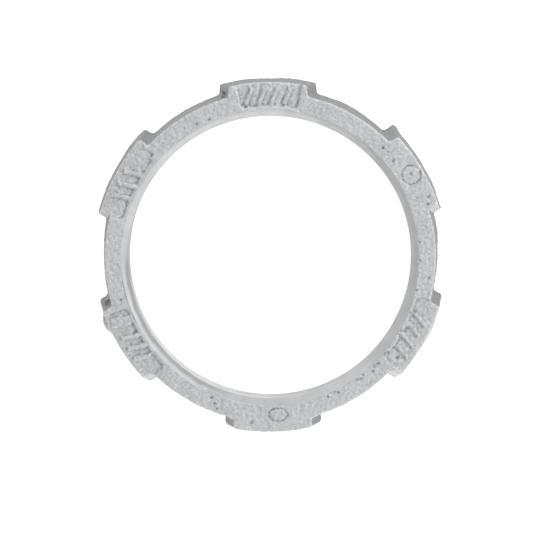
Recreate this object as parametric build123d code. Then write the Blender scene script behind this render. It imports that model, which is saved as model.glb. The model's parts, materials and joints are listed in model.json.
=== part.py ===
"""Conduit locknut, trade size 2-1/2: a flat threaded ring with six driving lugs, cast in one piece.

Millimetres. The axis is Z, the bearing face is at the origin's height, and the marked face is on top.
"""
from build123d import *
from math import cos, radians, sin, sqrt, tan
import os

# Ring
thickness = 10.0
bore_radius = 34.52
front_face_width = 4.2
ring_draft = 4.6

# Lead-ins at the two ends of the thread, each a width across the wall and a depth along the bore
front_entry_width = 1.7
front_entry_depth = 1.6
back_entry_width = 0.9
back_entry_depth = 0.8

# Driving lugs, measured at the front face
lug_count = 6
lug_height = 2.5
lug_width = 18.9
lug_tip_curve = 47.0
lug_tip_draft = 3.4
lug_end_draft = 14.0
lug_corner = 0.7
lug_root_fillet = 0.9

# Sunken panels: the lug's number, counted round the ring from the lug above +X, and the panel's two ends
# in degrees from the lug's middle. A panel that ends past its lug runs out over the edge of the ring.
panel_ends = {1: (-11.0, 10.0), 2: (-10.5, 14.4), 3: (-11.5, 14.8), 5: (-12.0, 14.4)}
panel_rim = 0.9
panel_depth = 0.6
panel_corner = 1.0
panel_draft = 20.0

# Softened outer edge of the front face
front_edge_round = 0.4

# Radii at the front face that follow from these
front_entry_radius = bore_radius + front_entry_width
ring_front_radius = front_entry_radius + front_face_width
lug_reach = ring_front_radius + lug_height
panel_inner_radius = front_entry_radius + panel_rim


def flare(draft):
    """Growth of a drafted wall from the front face down to the back face."""
    return thickness * tan(radians(draft))


def ring():
    """Ring with a drafted outer wall, a plain bore and a lead-in at each end."""
    section = Polyline(
        (bore_radius, back_entry_depth),
        (bore_radius + back_entry_width, 0),
        (ring_front_radius + flare(ring_draft), 0),
        (ring_front_radius, thickness),
        (front_entry_radius, thickness),
        (bore_radius, thickness - front_entry_depth),
        close=True,
    )
    return revolve(Plane.XZ * make_face(section), Axis.Z)


def lug_outline(reach, half_width, height):
    """Plan of one lug on +X: parallel ends, a gently curved tip, rounded outer corners."""
    seat = front_entry_radius + front_face_width / 2
    shoulder = reach - lug_tip_curve + sqrt(lug_tip_curve**2 - half_width**2)
    sides = Polyline((shoulder, half_width), (seat, half_width), (seat, -half_width), (shoulder, -half_width))
    tip = ThreePointArc((shoulder, -half_width), (reach, 0), (shoulder, half_width))
    face = make_face(sides + tip)
    corners = face.vertices().sort_by(Axis.X)[-2:]
    return Pos(0, 0, height) * fillet(corners, lug_corner)


def lug():
    """One lug, wider and longer at the back face than at the front."""
    front = lug_outline(lug_reach, lug_width / 2, thickness)
    back = lug_outline(lug_reach + flare(lug_tip_draft), lug_width / 2 + flare(lug_end_draft), 0)
    return loft([back, front], ruled=True)


def lug_turns():
    """Turn of each lug about the axis, starting on +X."""
    return [360 / lug_count * (index + 0.5) for index in range(lug_count)]


def panel_cutter(right_end, left_end):
    """Tool for one sunken panel: drafted walls, rounded inner corners, open past the lug's tip."""
    right, middle, left = (Vector(cos(radians(turn)), sin(radians(turn))) for turn in (right_end, 0, left_end))
    inner = ThreePointArc(left * panel_inner_radius, middle * panel_inner_radius, right * panel_inner_radius)
    open_end = 2 * lug_reach - panel_inner_radius
    sides = Polyline(right * panel_inner_radius, right * open_end, left * open_end, left * panel_inner_radius)
    face = make_face(inner + sides)
    corners = face.vertices().sort_by(Axis.X)[:2]
    floor = Pos(0, 0, thickness - panel_depth) * fillet(corners, panel_corner)
    return extrude(floor, 2 * panel_depth, taper=-panel_draft)


def locknut():
    """The whole casting."""
    blank = ring()
    turns = lug_turns()
    lugs = [Rot(0, 0, turn) * lug() for turn in turns]
    body = blank + lugs
    roots = new_edges(blank, *lugs, combined=body).filter_by(lambda edge: edge.length > thickness * 0.9)
    body = fillet(roots, lug_root_fillet)
    front_face = body.faces().sort_by(Axis.Z)[-1]
    body = fillet(front_face.outer_wire().edges(), front_edge_round)
    return body - [Rot(0, 0, turns[lug]) * panel_cutter(*ends) for lug, ends in panel_ends.items()]


if __name__ == "__main__":
    os.makedirs("parts", exist_ok=True)
    part = locknut()
    export_step(part, "parts/locknut.step")
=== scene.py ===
"""Conduit locknut: a rough casting with plain marks, machined to its lead-ins and its thread.

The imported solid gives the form. Plain bars are joined to it with the bore filled, and the whole is fused into
one rough skin that has the faults, pits and sunk ovals of this casting. The lead-ins, the bore and the thread
are cut last, so it all stays one closed mesh. Lengths are in metres unless a comment names another unit, and
the nut lies on its bearing face with its axis on Z.
"""
import json
from math import cos, radians, sin

import bpy
from mathutils import Matrix, Vector

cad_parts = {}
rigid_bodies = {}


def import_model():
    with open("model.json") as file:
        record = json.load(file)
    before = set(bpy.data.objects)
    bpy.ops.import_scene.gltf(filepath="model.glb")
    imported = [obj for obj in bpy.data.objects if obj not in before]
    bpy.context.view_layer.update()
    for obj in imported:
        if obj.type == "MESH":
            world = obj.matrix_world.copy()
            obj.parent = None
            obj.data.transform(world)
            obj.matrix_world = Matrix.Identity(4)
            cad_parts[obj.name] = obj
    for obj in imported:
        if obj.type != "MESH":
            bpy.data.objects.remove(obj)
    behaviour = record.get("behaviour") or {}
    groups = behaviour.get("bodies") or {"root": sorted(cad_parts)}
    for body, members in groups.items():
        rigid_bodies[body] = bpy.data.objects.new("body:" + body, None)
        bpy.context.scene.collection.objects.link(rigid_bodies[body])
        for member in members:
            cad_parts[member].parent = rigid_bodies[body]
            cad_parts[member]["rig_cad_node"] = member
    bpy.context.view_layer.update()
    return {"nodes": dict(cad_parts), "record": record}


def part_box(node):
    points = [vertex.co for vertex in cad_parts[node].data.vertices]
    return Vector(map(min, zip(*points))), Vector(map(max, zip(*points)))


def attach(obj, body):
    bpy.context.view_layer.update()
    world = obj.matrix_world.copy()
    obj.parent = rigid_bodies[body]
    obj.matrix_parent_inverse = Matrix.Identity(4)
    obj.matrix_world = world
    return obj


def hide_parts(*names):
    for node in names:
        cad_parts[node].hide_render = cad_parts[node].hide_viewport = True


bl_info = {
    "name": "Conduit locknut",
    "version": (1, 0, 0),
    "blender": (4, 5, 0),
    "location": "View3D > Sidebar > Locknut",
    "description": "Builds a cast conduit locknut with its thread, marks and rough skin, and a small studio",
    "category": "Add Mesh",
}

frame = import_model()

NODE = "locknut"
MM = 0.001
WELD = MM / 1000
SPIN_STEPS = 180
# Colour attribute for the painted shade in the hollows and the painted highlight on the proud edges
SHADE_AND_HIGHLIGHT_ATTRIBUTE = "painted_hollow_shade_and_edge_highlight"
THREAD = next(mount for mount in frame["record"]["mounts"] if mount["name"] == "thread")
CREST_RADIUS = THREAD["dims"]["r_mm"] * MM
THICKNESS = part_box(NODE)[1][2]
PANEL_DEPTH = 0.6 * MM

# Raised bars on the panels: turn of the lug and lean in degrees, width, length and height as shares of a plain
# bar's, and the places sideways on the lug in millimetres
BARS = (
    (90, -24, (1, 1, 1), (-4.6, -1.5, 1.6, 4.7)),
    (150, 16, (1, 1, 1), (-4.6, -1.4, 1.8)),
    (210, -20, (2.3, 1.1, 0.9), (5.2,)),
    (210, -20, (1, 1, 1), (0.9, -2.0, -4.9)),
    (330, -20, (1, 1, 1), (-4.7, -1.7, 1.3, 4.3)),
)
BAR_OUT = 39.4

# Corners of a lug taken down to the floor of its panel: turn in degrees, and the two ends sideways and outwards
# in millimetres
POCKETS = (
    (150, (7.0, 8.5), (37.2, 47.0)),
    (150, (8.4, 11.0), (40.2, 47.0)),
)

# Faults of this casting: turn of the place, distance from the axis, height, reach and outward push, in
# degrees and millimetres
FAULTS = (
    (9, 41.2, 1.0, 5.0, 0.35),
    (17, 43.4, 2.0, 2.5, -0.3),
    (45.5, 44.0, 1.0, 2.5, 0.5),
    (62, 41.3, 1.0, 5.0, 0.2),
    (90, 43.4, 1.5, 5.0, -0.2),
    (104.5, 44.2, 1.0, 2.5, 0.35),
    (140, 43.6, 1.0, 4.0, 0.15),
    (180, 41.1, 1.0, 6.0, -0.15),
    (202.5, 43.6, 1.0, 3.2, 1.15),
    (218.5, 43.6, 1.5, 4.5, -0.75),
    (236, 41.2, 1.0, 6.0, 0.2),
    (255, 42.2, 0.5, 2.2, -0.7),
    (260, 43.6, 1.0, 5.0, 0.35),
    (268, 43.5, 1.0, 2.0, 0.2),
    (279, 43.6, 1.0, 5.0, 0.45),
    (302, 41.2, 1.0, 6.0, 0.25),
    (332, 43.6, 1.0, 7.0, 0.5),
)

# Hollows at the roots of two lug ends: turn of the lug, sideways place on it, distance from the axis and
# radius, in degrees and millimetres
HOLLOWS = (
    (90, -10.9, 39.9, 1.0),
    (210, 10.9, 40.0, 1.0),
)

# Sunk ovals in the two bare lugs: turn of the lug, sideways place on it, distance from the axis, half width
# and half length, in degrees and millimetres
OVALS = (
    (30, 0.1, 39.8, 2.3, 2.3),
    (270, -1.26, 38.7, 2.3, 1.6),
)

# Pits in the front face: turn of the place, distance from the axis and radius, in degrees and millimetres
PITS = (
    (262.7, 40.7, 0.5),
    (320.6, 39.6, 0.5),
    (352.0, 38.9, 0.4),
    (30.0, 39.8, 0.45),
    (20.5, 41.3, 0.45),
    (18.2, 40.6, 0.3),
    (37.8, 38.1, 0.4),
    (41.5, 38.6, 0.3),
    (43.8, 38.5, 0.35),
    (248.2, 38.5, 0.45),
    (246.4, 37.4, 0.35),
    (249.6, 39.5, 0.3),
    (291.5, 36.9, 0.3),
    (294.0, 36.5, 0.45),
    (295.8, 37.1, 0.3),
    (304.0, 36.6, 0.4),
    (305.6, 37.0, 0.45),
    (307.2, 36.5, 0.3),
    (311.0, 37.4, 0.35),
    (312.6, 36.7, 0.5),
    (314.5, 37.0, 0.4),
    (319.0, 36.5, 0.35),
    (320.4, 36.9, 0.3),
    (328.0, 36.6, 0.45),
    (330.0, 36.4, 0.3),
    (337.5, 36.7, 0.35),
    (346.5, 36.4, 0.4),
    (358.0, 36.3, 0.3),
    (5.0, 36.4, 0.35),
    (118.0, 37.3, 0.3),
    (113.0, 36.9, 0.35),
    (195.0, 38.0, 0.3),
)
PIT_DEPTH = 0.28 * MM
OVAL_DEPTH = 0.24 * MM
OVAL_HALF_LINE = 0.24 * MM

# Soft boxes, all aimed at the nut: name, place and power in watts
LAMPS = (
    ("key", (0.65, 0.65, 0.92), 5.0),
    ("second", (0.65, -0.65, 0.92), 2.3),
    ("low front", (0, -1.27, 0.27), 2.5),
    ("low back", (-0.64, 1.1, 0.27), 2.5),
)
LAMP_SIZE = 0.7
ROOM_LIGHT = 0.66
FLOOR_SIZE = 6.0
FLOOR_DROP = 0.00005
FLOOR_GLOW = 0.6
WHITE = (1.0, 1.0, 1.0, 1.0)
# Painted shade inside the small pits of the cast skin
PIT_SHADE_COLOUR = (0.12, 0.12, 0.125, 1.0)


def length(name, millimetres, words):
    """A length property whose default is written in millimetres."""
    return bpy.props.FloatProperty(name=name, description=words, default=millimetres * MM, unit="LENGTH", precision=5)


def share(name, value, words):
    """A plain number between 0 and 1."""
    return bpy.props.FloatProperty(name=name, description=words, default=value, min=0.0, max=1.0)


def angle(name, degrees, words):
    """An angle property whose default is written in degrees."""
    return bpy.props.FloatProperty(name=name, description=words, default=radians(degrees), subtype="ANGLE")


def colour(name, value, words):
    """A linear colour."""
    return bpy.props.FloatVectorProperty(name=name, description=words, default=value, size=3, subtype="COLOR")


class LocknutThread(bpy.types.PropertyGroup):
    """Form of the cut thread and of the lead-ins at its two ends."""

    pitch: length("Pitch", 3.175, "Rise of one turn, 8 turns to the inch")
    depth: length("Depth", 2.1, "Radial depth of the groove from the crest")
    crest: length("Crest", 0.5, "Width of the flat on each crest")
    root: length("Root", 0.25, "Width of the flat at the bottom of the groove")
    rise: length("Rise", 1.89, "Height of a groove's middle over +X")
    front_width: length("Front lead-in width", 1.7, "Across the wall, at the marked face")
    front_depth: length("Front lead-in depth", 1.6, "Along the bore, at the marked face")
    back_width: length("Back lead-in width", 0.9, "Across the wall, at the bearing face")
    back_depth: length("Back lead-in depth", 0.8, "Along the bore, at the bearing face")


class LocknutSkin(bpy.types.PropertyGroup):
    """Roughness of the cast surface."""

    grain_mesh: length("Mesh", 0.28, "Edge length of the mesh that carries the skin")
    wave_size: length("Wave size", 9.0, "Width of the slow waves in the cast faces")
    wave_height: length("Wave height", 0.16, "Height of the slow waves")
    pebble_size: length("Pebble size", 0.85, "Width of the pebbles")
    pebble_height: length("Pebble height", 0.32, "Height of the pebbles")


class LocknutMarks(bpy.types.PropertyGroup):
    """Plain raised bars on the panels."""

    height: length("Height", 0.68, "How far a bar stands above the floor of its panel")
    tall: length("Tall", 4.6, "Radial length of a bar")
    wide: length("Wide", 1.3, "Width of a bar")


class LocknutFinish(bpy.types.PropertyGroup):
    """Colours and gloss of the metal."""

    metal: colour("Metal", (0.60, 0.605, 0.615), "Fresh cast aluminium")
    dull: colour("Dull", (0.47, 0.475, 0.485), "Dull oxide in blotches")
    # Low is painted shade: in the hollows, and in a band low on the left of the front lead-in
    low: colour("Low", (0.30, 0.305, 0.315), "Dirt in the hollows, and the stain")
    # Bright is the random grain, and the painted highlight on proud edges
    bright: colour("Bright", (0.74, 0.745, 0.75), "Rubbed high places")
    # Painted shade on steep sides turned away from -Y
    side: colour("Side", (0.41, 0.415, 0.425), "Skin of the steep sides, which the mould left darker")
    # Painted highlight on steep sides turned towards -Y, the side of the low front lamp
    highlit_side: colour("Rubbed", (0.86, 0.865, 0.87), "Steep sides that are rubbed bright")
    # Lead-in and thread are one cut metal: the lead-in painted darker as painted shade, the thread lighter as painted
    # light
    shaded_lead_in: colour("Lead-in", (0.64, 0.645, 0.65), "Cut metal of the lead-ins")
    thread: colour("Thread", (0.72, 0.725, 0.73), "Cut metal of the thread")
    rough_cast: share("Cast roughness", 0.6, "Gloss of the cast skin")
    rough_cut: share("Cut roughness", 0.6, "Gloss of the thread and the lead-ins")


class LocknutStage(bpy.types.PropertyGroup):
    """Camera and floor."""

    distance: length("Distance", 900.0, "From the middle of the nut to the camera")
    tilt: angle("Tilt", 6.2, "Camera's lean from straight above")
    roll: angle("Roll", -0.85, "Camera's turn about its own line of sight")
    white: colour("White", (0.9, 0.9, 0.9), "Floor")


SETTINGS = {
    "locknut_thread": LocknutThread,
    "locknut_skin": LocknutSkin,
    "locknut_marks": LocknutMarks,
    "locknut_finish": LocknutFinish,
    "locknut_stage": LocknutStage,
}


def chosen(group):
    """The settings of one group."""
    return getattr(bpy.context.scene, group)


def only(piece):
    """Leaves one object selected and active."""
    bpy.ops.object.select_all(action="DESELECT")
    piece.select_set(True)
    bpy.context.view_layer.objects.active = piece


def edit(piece):
    """Opens a piece in edit mode with nothing selected."""
    only(piece)
    bpy.ops.object.mode_set(mode="EDIT")
    bpy.ops.mesh.select_all(action="DESELECT")


def close_edit():
    """Returns to object mode."""
    bpy.ops.object.mode_set(mode="OBJECT")


def pick(piece, test):
    """In edit mode, selects the vertices whose place passes the test."""
    bpy.ops.object.mode_set(mode="OBJECT")
    for vertex in piece.data.vertices:
        vertex.select = test(vertex.co)
    bpy.ops.object.mode_set(mode="EDIT")


def fix_place(piece):
    """Writes an object's place, turn and size into its mesh."""
    only(piece)
    bpy.ops.object.transform_apply(location=True, rotation=True, scale=True)


def finish_with(piece, kind, **values):
    """Adds a modifier, sets it and applies it."""
    modifier = piece.modifiers.new(kind.title(), kind)
    for name, value in values.items():
        setattr(modifier, name, value)
    only(piece)
    bpy.ops.object.modifier_apply(modifier=modifier.name)


def cut(piece, tool):
    """Takes one solid out of another and drops the tool."""
    finish_with(piece, "BOOLEAN", operation="DIFFERENCE", object=tool, solver="EXACT")
    bpy.data.objects.remove(tool)


def join(piece, others):
    """Adds the meshes of other pieces to one."""
    only(piece)
    for other in others:
        other.select_set(True)
    bpy.ops.object.join()


def on_lug(turn, right, out, height):
    """A place over a lug: right of its middle line as read from outside, and out from the axis."""
    along = radians(turn)
    return Vector((out * cos(along) + right * sin(along), out * sin(along) - right * cos(along), height))


def body_blank():
    """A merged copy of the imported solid."""
    piece = frame["nodes"][NODE].copy()
    piece.data = piece.data.copy()
    piece.name = piece.data.name = "casting"
    piece.parent = None
    del piece["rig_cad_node"]
    bpy.context.scene.collection.objects.link(piece)
    edit(piece)
    bpy.ops.mesh.select_all(action="SELECT")
    bpy.ops.mesh.remove_doubles(threshold=WELD)
    close_edit()
    return piece


def square_front(piece):
    """Carries the outline straight up to the front face, in place of the solid's softened edge."""
    depth, block_size = 0.45 * MM, 1.0
    bpy.ops.mesh.primitive_cube_add(size=block_size, location=(0, 0, THICKNESS - depth + block_size / 2))
    block = bpy.context.object
    fix_place(block)
    cut(piece, block)
    edit(piece)
    bpy.ops.mesh.select_mode(type="FACE")
    bpy.ops.object.mode_set(mode="OBJECT")
    for face in piece.data.polygons:
        face.select = face.center.z > THICKNESS - depth - WELD
    bpy.ops.object.mode_set(mode="EDIT")
    bpy.ops.mesh.extrude_region_move(TRANSFORM_OT_translate={"value": (0, 0, depth)})
    close_edit()


def pocket(turn, right, out):
    """Tool that takes a corner of a lug down to the floor of its panel, between two places each way."""
    (near, far), (inner, outer) = right, out
    bpy.ops.mesh.primitive_cube_add(size=1)
    tool = bpy.context.object
    tool.scale = ((far - near) * MM, (outer - inner) * MM, THICKNESS)
    tool.rotation_euler.z = radians(turn - 90)
    middle = THICKNESS - PANEL_DEPTH + THICKNESS / 2
    tool.location = on_lug(turn, (near + far) / 2 * MM, (inner + outer) / 2 * MM, middle)
    fix_place(tool)
    return tool


def hollow(turn, right, out, radius):
    """Tool for the hollow at the root of a lug end: a tall ellipsoid that the drafted end runs into."""
    middle, half_height = 0.62 * THICKNESS, 0.4 * THICKNESS
    bpy.ops.mesh.primitive_uv_sphere_add(segments=32, ring_count=16, radius=radius * MM)
    tool = bpy.context.object
    edit(tool)
    bpy.ops.mesh.select_all(action="SELECT")
    bpy.ops.transform.resize(value=(1, 1, half_height / (radius * MM)))
    close_edit()
    tool.location = on_lug(turn, right * MM, out * MM, middle)
    fix_place(tool)
    return tool


def thread_cutter():
    """The groove of the thread as one closed helical bar, longer than the bore at both ends."""
    thread = chosen("locknut_thread")
    run_out = 2
    overcut = thread.crest / 4
    flank = (thread.pitch - thread.crest - thread.root) / 2 / thread.depth
    mouth = thread.root / 2 + flank * (thread.depth + overcut)
    turns = int(THICKNESS / thread.pitch) + 2 * run_out
    inner, outer = CREST_RADIUS - overcut, CREST_RADIUS + thread.depth
    section = ((inner, -mouth), (outer, -thread.root / 2), (outer, thread.root / 2), (inner, mouth))
    bpy.ops.mesh.primitive_plane_add(size=MM)
    bar = bpy.context.object
    for vertex, (across, up) in zip((bar.data.vertices[index] for index in (0, 1, 3, 2)), section):
        vertex.co = (across, 0, up + thread.rise - run_out * thread.pitch)
    edit(bar)
    bpy.ops.mesh.select_all(action="SELECT")
    bpy.ops.mesh.delete(type="ONLY_FACE")
    close_edit()
    finish_with(
        bar, "SCREW", axis="Z", screw_offset=thread.pitch, iterations=turns, steps=SPIN_STEPS,
        render_steps=SPIN_STEPS,
    )
    edit(bar)
    heights = [vertex.co.z for vertex in bar.data.vertices]
    for end, reach in ((min(heights), 1), (max(heights), -1)):
        bpy.ops.mesh.select_all(action="DESELECT")
        bpy.ops.mesh.select_mode(type="VERT")
        bpy.ops.mesh.select_non_manifold()
        bpy.ops.object.mode_set(mode="OBJECT")
        for vertex in bar.data.vertices:
            vertex.select = vertex.select and (vertex.co.z - end) * reach < thread.pitch
        bpy.ops.object.mode_set(mode="EDIT")
        bpy.ops.mesh.edge_face_add()
    bpy.ops.mesh.select_all(action="SELECT")
    bpy.ops.mesh.normals_make_consistent(inside=False)
    close_edit()
    return bar


def spun(profile):
    """A closed solid turned about Z from a profile of radii and heights that starts and ends on the axis."""
    bpy.ops.mesh.primitive_plane_add(size=MM)
    solid = bpy.context.object
    edit(solid)
    bpy.ops.mesh.select_all(action="SELECT")
    bpy.ops.mesh.delete(type="VERT")
    close_edit()
    solid.data.vertices.add(len(profile))
    solid.data.edges.add(len(profile) - 1)
    for vertex, (radius, height) in zip(solid.data.vertices, profile):
        vertex.co = (radius, 0, height)
    for index, line in enumerate(solid.data.edges):
        line.vertices = (index, index + 1)
    finish_with(
        solid, "SCREW", axis="Z", screw_offset=0, iterations=1, steps=SPIN_STEPS, render_steps=SPIN_STEPS,
        use_merge_vertices=True, merge_threshold=WELD,
    )
    edit(solid)
    bpy.ops.mesh.select_all(action="SELECT")
    bpy.ops.mesh.remove_doubles(threshold=WELD)
    bpy.ops.mesh.normals_make_consistent(inside=False)
    close_edit()
    return solid


def bore_cutter():
    """The bore on the thread's crests with a lead-in at each end, carried on past both faces."""
    thread = chosen("locknut_thread")
    past = MM
    front_slope, back_slope = thread.front_width / thread.front_depth, thread.back_width / thread.back_depth
    return spun((
        (0, -past),
        (CREST_RADIUS + thread.back_width + back_slope * past, -past),
        (CREST_RADIUS, thread.back_depth),
        (CREST_RADIUS, THICKNESS - thread.front_depth),
        (CREST_RADIUS + thread.front_width + front_slope * past, THICKNESS + past),
        (0, THICKNESS + past),
    ))


def bore_plug():
    """A disc that fills the bore and its thread before the casting is machined."""
    wall = CREST_RADIUS + chosen("locknut_thread").depth + MM / 2
    return spun(((0, 0), (wall, 0), (wall, THICKNESS), (0, THICKNESS)))


def bar_mark(turn, lean, right, size):
    """A raised bar with softened edges on the floor of a panel, pointing outwards and leaning by some degrees."""
    wide, tall, height = size
    top_narrowing, edge_round = (0.78, 0.92, 1), 0.12 * MM
    bpy.ops.mesh.primitive_cube_add(size=1, location=(0, 0, 0))
    mark = bpy.context.object
    mark.scale = (wide, tall, 2 * height)
    fix_place(mark)
    edit(mark)
    pick(mark, lambda place: place.z > 0)
    bpy.ops.transform.resize(value=top_narrowing)
    close_edit()
    finish_with(mark, "BEVEL", width=edge_round, segments=2, limit_method="ANGLE")
    mark.location = on_lug(turn, right * MM, BAR_OUT * MM, THICKNESS - PANEL_DEPTH)
    mark.rotation_euler.z = radians(turn - 90) + radians(lean)
    fix_place(mark)
    return mark


def lug_marks():
    """Plain raised bars, where a maker's casting would carry its marks."""
    marks = chosen("locknut_marks")
    made = []
    for turn, lean, (wide, tall, high), places in BARS:
        size = (wide * marks.wide, tall * marks.tall, high * marks.height)
        made += [bar_mark(turn, lean, right, size) for right in places]
    return made


def push(piece, turn, out, height, reach, move):
    """Draws the skin round a place outwards, and less and less away from it."""
    middle = on_lug(turn, 0, out * MM, height * MM)
    edit(piece)
    pick(piece, lambda place: (place - middle).length < reach * MM / 4)
    bpy.ops.transform.translate(
        value=on_lug(turn, 0, move * MM, 0), use_proportional_edit=True, proportional_edit_falloff="SMOOTH",
        proportional_size=reach * MM,
    )
    close_edit()


def skin_group(piece):
    """Marks where the rough skin lies: full outside and faint on the bearing face."""
    back_layer, faint_share = 0.35 * MM, 0.35
    group = piece.vertex_groups.new(name="skin")
    faint = [vertex.index for vertex in piece.data.vertices if vertex.co.z < back_layer]
    group.add(range(len(piece.data.vertices)), 1.0, "REPLACE")
    group.add(faint, faint_share, "REPLACE")


def clouds(name, size, depth):
    """A soft noise that a Displace modifier can read."""
    texture = bpy.data.textures.new(name, "CLOUDS")
    texture.noise_scale = size
    texture.noise_depth = depth
    return texture


def rough_skin(piece):
    """Fuses the parts into one skin and gives it its faults, and the waves and pebbles of a sand casting."""
    skin = chosen("locknut_skin")
    finish_with(piece, "REMESH", mode="VOXEL", voxel_size=skin.grain_mesh, use_smooth_shade=True)
    for fault in FAULTS:
        push(piece, *fault)
    skin_group(piece)
    for name, size, height, depth in (
        ("waves", skin.wave_size, skin.wave_height, 1),
        ("pebbles", skin.pebble_size, skin.pebble_height, 2),
    ):
        texture = clouds(name, size, depth)
        finish_with(
            piece, "DISPLACE", texture=texture, texture_coords="LOCAL", strength=height,
            mid_level=0.5, vertex_group="skin",
        )


def sink(piece):
    """Presses the pits and the lines of the ovals into the front face."""
    spots = [(on_lug(turn, 0, out * MM, 0).xy, radius * MM) for turn, out, radius in PITS]
    ovals = [
        (
            on_lug(turn, right * MM, out * MM, 0).xy,
            on_lug(turn, 1, 0, 0).xy,
            on_lug(turn, 0, 1, 0).xy,
            half_width * MM,
            half_length * MM,
        )
        for turn, right, out, half_width, half_length in OVALS
    ]

    def on_front(place):
        return place.z > THICKNESS - MM

    def in_pit(place):
        return on_front(place) and any((place.xy - spot).length < radius for spot, radius in spots)

    def on_line(place, oval):
        middle, across, along, half_width, half_length = oval
        away = place.xy - middle
        reach = Vector((away.dot(across) / half_width, away.dot(along) / half_length)).length
        return abs(reach - 1) * (half_width + half_length) / 2 < OVAL_HALF_LINE

    def on_oval(place):
        return on_front(place) and any(on_line(place, oval) for oval in ovals)

    for test, depth in ((in_pit, PIT_DEPTH), (on_oval, OVAL_DEPTH)):
        edit(piece)
        pick(piece, test)
        bpy.ops.transform.translate(value=(0, 0, -depth))
        close_edit()


def painted_hollow_shade_and_edge_highlight(piece):
    """Writes how hollow or proud each place is, which the metal's colour follows as painted shade in the hollows and a
    painted highlight on the proud edges.
    """
    only(piece)
    bpy.ops.geometry.color_attribute_add(name=SHADE_AND_HIGHLIGHT_ATTRIBUTE, domain="CORNER", data_type="FLOAT_COLOR", color=WHITE)
    bpy.ops.paint.vertex_color_dirt(
        blur_strength=0.6, blur_iterations=1, clean_angle=radians(180), dirt_angle=0, dirt_only=False, normalize=False
    )


class Shader:
    """Short calls for building one material's nodes."""

    def __init__(self, name):
        self.material = bpy.data.materials.new(name)
        self.material.use_nodes = True
        self.nodes = self.material.node_tree.nodes
        self.links = self.material.node_tree.links
        self.surface = self.nodes["Principled BSDF"].inputs
        grid = self.add("ShaderNodeTexCoord")
        self.place = grid.outputs["Object"]
        self.facing = grid.outputs["Normal"]

    def add(self, kind, **values):
        """A node with its own values set."""
        node = self.nodes.new(kind)
        for name, value in values.items():
            setattr(node, name, value)
        return node

    def feed(self, socket, value):
        """Sets a socket, or links another node's output to it."""
        if isinstance(value, bpy.types.NodeSocket):
            self.links.new(value, socket)
        else:
            socket.default_value = value

    def parts(self, vector):
        """The three numbers of a vector."""
        node = self.add("ShaderNodeSeparateXYZ")
        self.feed(node.inputs[0], vector)
        return node.outputs["X"], node.outputs["Y"], node.outputs["Z"]

    def noise(self, scale, detail, roughness=0.55):
        """Value of a noise with so many features to the metre."""
        node = self.add("ShaderNodeTexNoise")
        self.feed(node.inputs["Vector"], self.place)
        self.feed(node.inputs["Scale"], scale)
        self.feed(node.inputs["Detail"], detail)
        self.feed(node.inputs["Roughness"], roughness)
        return node.outputs["Fac"]

    def cells(self, scale):
        """Distance to the nearest of scattered points, so many to the metre."""
        node = self.add("ShaderNodeTexVoronoi")
        self.feed(node.inputs["Vector"], self.place)
        self.feed(node.inputs["Scale"], scale)
        return node.outputs["Distance"]

    def math(self, kind, first, second=0.5):
        """One sum."""
        node = self.add("ShaderNodeMath", operation=kind)
        self.feed(node.inputs[0], first)
        self.feed(node.inputs[1], second)
        return node.outputs[0]

    def times(self, first, second):
        """A product."""
        return self.math("MULTIPLY", first, second)

    def rest(self, part):
        """What a share leaves of the whole."""
        return self.math("SUBTRACT", 1.0, part)

    def ramp(self, value, low, high, start=0.0, end=1.0):
        """Smooth change from start to end while the value goes from low to high."""
        node = self.add("ShaderNodeMapRange", interpolation_type="SMOOTHSTEP")
        for name, number in zip(("Value", "From Min", "From Max", "To Min", "To Max"), (value, low, high, start, end)):
            self.feed(node.inputs[name], number)
        return node.outputs["Result"]

    def mix(self, share_of_second, first, second):
        """A blend of two colours."""
        node = self.add("ShaderNodeMix", data_type="RGBA")
        self.feed(node.inputs["Factor"], share_of_second)
        self.feed(node.inputs["A"], first)
        self.feed(node.inputs["B"], second)
        return node.outputs["Result"]

    def bump(self, height, strength, distance):
        """A normal bent by a height."""
        node = self.add("ShaderNodeBump")
        self.feed(node.inputs["Height"], height)
        self.feed(node.inputs["Strength"], strength)
        self.feed(node.inputs["Distance"], distance)
        return node.outputs["Normal"]


def opaque(value):
    """A colour of the settings as a shader takes it."""
    return tuple(value) + (1.0,)


def skin_share(shader, radius, uneven, z):
    """Where the metal is cast skin and not cut, with an uneven line between the front face and its lead-in."""
    edge = CREST_RADIUS + 1.75 * MM
    top = shader.ramp(z, THICKNESS - 0.35 * MM, THICKNESS - 0.2 * MM)
    face = shader.times(shader.ramp(uneven, edge - 0.15 * MM, edge + 0.2 * MM), top)
    outside = shader.ramp(radius, edge + 0.65 * MM, edge + 0.8 * MM)
    return shader.math("MAXIMUM", face, outside)


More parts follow.
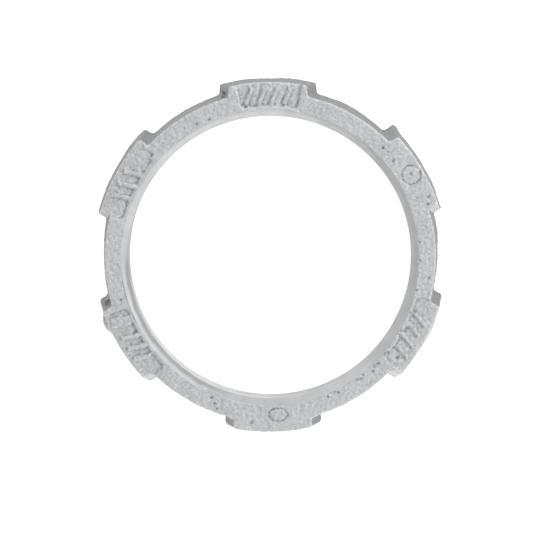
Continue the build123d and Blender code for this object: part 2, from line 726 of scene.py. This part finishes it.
def cast_colour(shader, blotch, grain, pits):
    """Blotched and grainy skin, with painted shade in its hollows and pits, a painted highlight on its proud edges,
    painted shade on steep sides turned away from -Y and a painted highlight on steep sides turned towards -Y.
    """
    finish = chosen("locknut_finish")
    mottled, pit_shade_share, shade_and_highlight_share, steep_share = 0.45, 0.6, 0.85, 0.85
    low, bright = opaque(finish.low), opaque(finish.bright)
    cast = shader.mix(shader.times(blotch, mottled), opaque(finish.metal), opaque(finish.dull))
    cast = shader.mix(shader.times(grain, mottled), cast, bright)
    # Painted shade inside the pits
    cast = shader.mix(shader.times(pits, pit_shade_share), cast, PIT_SHADE_COLOUR)
    hollowness = shader.add("ShaderNodeAttribute", attribute_name=SHADE_AND_HIGHLIGHT_ATTRIBUTE).outputs["Fac"]
    # Painted shade in the hollows and a painted highlight on the proud edges
    cast = shader.mix(shader.ramp(hollowness, 0.49, 0.445, 0.0, shade_and_highlight_share), cast, low)
    cast = shader.mix(shader.ramp(hollowness, 0.51, 0.555, 0.0, shade_and_highlight_share), cast, bright)
    _, facing_y, facing_z = shader.parts(shader.facing)
    steep = shader.ramp(facing_z, 0.3, 0.75, steep_share, 0.0)
    away = shader.ramp(facing_y, -0.55, -0.1)
    # Painted shade on steep sides turned away from -Y, and a painted highlight on those turned towards it
    cast = shader.mix(shader.times(steep, away), cast, opaque(finish.side))
    return shader.mix(shader.times(steep, shader.rest(away)), cast, opaque(finish.highlit_side))


def lead_in_shade_share(shader, place, uneven, foot):
    """Where the front lead-in gets painted shade: a band of it low on the left."""
    x, y, z = place
    off_middle = shader.math("ABSOLUTE", shader.math("SUBTRACT", uneven, CREST_RADIUS + 0.55 * MM))
    band = shader.ramp(off_middle, 0.2 * MM, 0.6 * MM, 1.0, 0.0)
    low_left = shader.times(shader.ramp(x, -8 * MM, -18 * MM), shader.ramp(y, 6 * MM, -6 * MM))
    return shader.times(shader.times(band, low_left), shader.ramp(z, foot, foot + 0.3 * MM))


def cut_colour(shader, place, radius, uneven, blotch):
    """Cut metal: the thread painted lighter as painted light, and the front lead-in between its grooves painted darker
    as painted shade, with its band of painted shade.
    """
    finish, thread = chosen("locknut_finish"), chosen("locknut_thread")
    dulled, lead_in_shade_strength = 0.3, 0.5
    z = place[2]
    foot = THICKNESS - thread.front_depth
    above = shader.math("MAXIMUM", shader.math("SUBTRACT", z, foot), 0.0)
    lead_in_radius = shader.math("ADD", shader.times(above, thread.front_width / thread.front_depth), CREST_RADIUS)
    in_groove = shader.ramp(shader.math("SUBTRACT", radius, lead_in_radius), 0.05 * MM, 0.25 * MM)
    cone = shader.ramp(z, foot - 0.1 * MM, foot + 0.1 * MM)
    # The lead-in cone painted darker than the thread, as painted shade
    shaded_lead_in = shader.times(cone, shader.rest(in_groove))
    metal = shader.mix(shaded_lead_in, opaque(finish.thread), opaque(finish.shaded_lead_in))
    metal = shader.mix(shader.times(blotch, dulled), metal, opaque(finish.dull))
    # Painted shade in a band low on the left of the front lead-in
    lead_in_shade = lead_in_shade_share(shader, place, uneven, foot)
    return shader.mix(shader.times(lead_in_shade, lead_in_shade_strength), metal, opaque(finish.low))


def cast_metal():
    """Light grey cast aluminium: matt and pebbled outside, smoother and brighter where it is cut."""
    finish = chosen("locknut_finish")
    shader = Shader("cast aluminium")
    place = x, y, z = shader.parts(shader.place)
    radius = shader.math(
        "SQRT", shader.math("ADD", shader.math("POWER", x, 2.0), shader.math("POWER", y, 2.0))
    )
    wander = shader.times(shader.math("SUBTRACT", shader.noise(260.0, 2.0), 0.5), 0.9 * MM)
    uneven = shader.math("ADD", radius, wander)
    skin = skin_share(shader, radius, uneven, z)

    blotch = shader.ramp(shader.noise(170.0, 4.0, 0.6), 0.36, 0.66)
    grain = shader.ramp(shader.noise(1500.0, 3.0, 0.6), 0.34, 0.66)
    rare = shader.ramp(shader.noise(420.0, 1.0), 0.60, 0.66)
    pits = shader.times(shader.ramp(shader.cells(900.0), 0.06, 0.16, 1.0, 0.0), rare)
    cast = cast_colour(shader, blotch, grain, pits)
    cut_metal = cut_colour(shader, place, radius, uneven, blotch)
    shader.feed(shader.surface["Base Color"], shader.mix(skin, cut_metal, cast))
    shader.feed(shader.surface["Metallic"], 1.0)

    gloss = shader.ramp(grain, 0.0, 1.0, finish.rough_cast + 0.08, finish.rough_cast - 0.06)
    shader.feed(shader.surface["Roughness"], shader.ramp(skin, 0.0, 1.0, finish.rough_cut, gloss))

    pebbled = shader.math("ADD", shader.noise(1100.0, 4.0, 0.62), shader.times(pits, -1.2))
    turned = shader.times(shader.noise(240.0, 2.0), 0.35)
    height = shader.ramp(skin, 0.0, 1.0, turned, pebbled)
    shader.feed(shader.surface["Normal"], shader.bump(height, 0.9, 0.3 * MM))
    return shader.material


class LOCKNUT_OT_casting(bpy.types.Operator):
    """Build the nut: raise the marks, roughen the skin, then cut the bore and the thread"""

    bl_idname = "locknut.casting"
    bl_label = "Casting"

    def execute(self, context):
        smooth_below = radians(33)
        piece = body_blank()
        square_front(piece)
        for corner in POCKETS:
            cut(piece, pocket(*corner))
        for place in HOLLOWS:
            cut(piece, hollow(*place))
        join(piece, [bore_plug()] + lug_marks())
        rough_skin(piece)
        sink(piece)
        cut(piece, bore_cutter())
        cut(piece, thread_cutter())
        only(piece)
        bpy.ops.object.shade_smooth_by_angle(angle=smooth_below)
        painted_hollow_shade_and_edge_highlight(piece)
        piece.data.materials.clear()
        piece.data.materials.append(cast_metal())
        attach(piece, "root")
        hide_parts(NODE)
        return {"FINISHED"}


def area_lamp(name, place, power):
    """A square soft box pointing at the nut."""
    bpy.ops.object.light_add(type="AREA", location=place)
    lamp = bpy.context.object
    lamp.name = name
    lamp.data.shape = "SQUARE"
    lamp.data.size = LAMP_SIZE
    lamp.data.energy = power
    lamp.rotation_euler = (-Vector(place)).to_track_quat("-Z", "Y").to_euler()


def studio_floor(white):
    """A wide pale sheet that shows white to the camera and keeps the nut's shadow."""
    bpy.ops.mesh.primitive_plane_add(size=FLOOR_SIZE, location=(0, 0, -FLOOR_DROP))
    floor = bpy.context.object
    floor.name = "floor"
    shader = Shader("pale floor")
    shader.feed(shader.surface["Base Color"], opaque(white))
    shader.feed(shader.surface["Roughness"], 0.9)
    seen = shader.add("ShaderNodeLightPath").outputs["Is Camera Ray"]
    shader.feed(shader.surface["Emission Color"], WHITE)
    shader.feed(shader.surface["Emission Strength"], shader.times(seen, FLOOR_GLOW))
    floor.data.materials.append(shader.material)


def studio_world():
    """White behind everything, and an even plain room."""
    world = bpy.data.worlds.new("studio")
    bpy.context.scene.world = world
    world.use_nodes = True
    nodes, links = world.node_tree.nodes, world.node_tree.links
    room = nodes["Background"]
    room.inputs["Color"].default_value = WHITE
    room.inputs["Strength"].default_value = ROOM_LIGHT
    backdrop = nodes.new("ShaderNodeBackground")
    backdrop.inputs["Color"].default_value = WHITE
    rays = nodes.new("ShaderNodeLightPath")
    blend = nodes.new("ShaderNodeMixShader")
    links.new(rays.outputs["Is Camera Ray"], blend.inputs["Fac"])
    links.new(room.outputs["Background"], blend.inputs[1])
    links.new(backdrop.outputs["Background"], blend.inputs[2])
    links.new(blend.outputs["Shader"], nodes["World Output"].inputs["Surface"])


def photo_camera(stage):
    """A long-lens camera above the nut, leaning towards +Y."""
    width_px, px_per_mm = 540, 4.078
    middle_px = (270.43, 255.9)
    sensor = 36.0
    focal_px = px_per_mm * stage.distance / MM
    bpy.ops.object.camera_add()
    camera = bpy.context.object
    bpy.context.scene.camera = camera
    camera.data.sensor_width = sensor
    camera.data.lens = focal_px * sensor / width_px
    turn = Matrix.Rotation(stage.roll, 3, "Z") @ Matrix.Rotation(-stage.tilt, 3, "X")
    right, up, back = turn @ Vector((1, 0, 0)), turn @ Vector((0, 1, 0)), turn @ Vector((0, 0, 1))
    off_right = (middle_px[0] - width_px / 2) / px_per_mm * MM
    off_up = (width_px / 2 - middle_px[1]) / px_per_mm * MM
    aim = Vector((0, 0, THICKNESS / 2)) - right * off_right - up * off_up
    camera.location = aim + back * stage.distance
    camera.rotation_euler = turn.to_euler()
    camera.data.clip_start = 0.01
    camera.data.clip_end = 20.0


class LOCKNUT_OT_stage(bpy.types.Operator):
    """Set up the pale floor, the soft light and the camera"""

    bl_idname = "locknut.stage"
    bl_label = "Studio"

    def execute(self, context):
        stage = chosen("locknut_stage")
        studio_floor(stage.white)
        studio_world()
        for lamp in LAMPS:
            area_lamp(*lamp)
        photo_camera(stage)
        context.scene.view_settings.view_transform = "Standard"
        return {"FINISHED"}


class LOCKNUT_PT_panel(bpy.types.Panel):
    """The nut's settings and steps in the sidebar"""

    bl_label = "Conduit locknut"
    bl_space_type = "VIEW_3D"
    bl_region_type = "UI"
    bl_category = "Locknut"

    def draw(self, context):
        for group in SETTINGS:
            box = self.layout.box()
            for name in chosen(group).bl_rna.properties.keys():
                if name not in ("rna_type", "name"):
                    box.prop(chosen(group), name)
        for step in STEPS:
            self.layout.operator(step.bl_idname)


STEPS = (LOCKNUT_OT_casting, LOCKNUT_OT_stage)
CLASSES = tuple(SETTINGS.values()) + STEPS + (LOCKNUT_PT_panel,)


def register():
    """Registers the classes and hangs the settings on the scene."""
    for each in CLASSES:
        bpy.utils.register_class(each)
    for group, kind in SETTINGS.items():
        setattr(bpy.types.Scene, group, bpy.props.PointerProperty(type=kind))


def unregister():
    """Takes the settings and the classes away again."""
    for group in SETTINGS:
        delattr(bpy.types.Scene, group)
    for each in reversed(CLASSES):
        bpy.utils.unregister_class(each)


def main():
    """Builds the nut and its studio."""
    register()
    bpy.ops.locknut.casting()
    bpy.ops.locknut.stage()


if __name__ == "__main__":
    main()
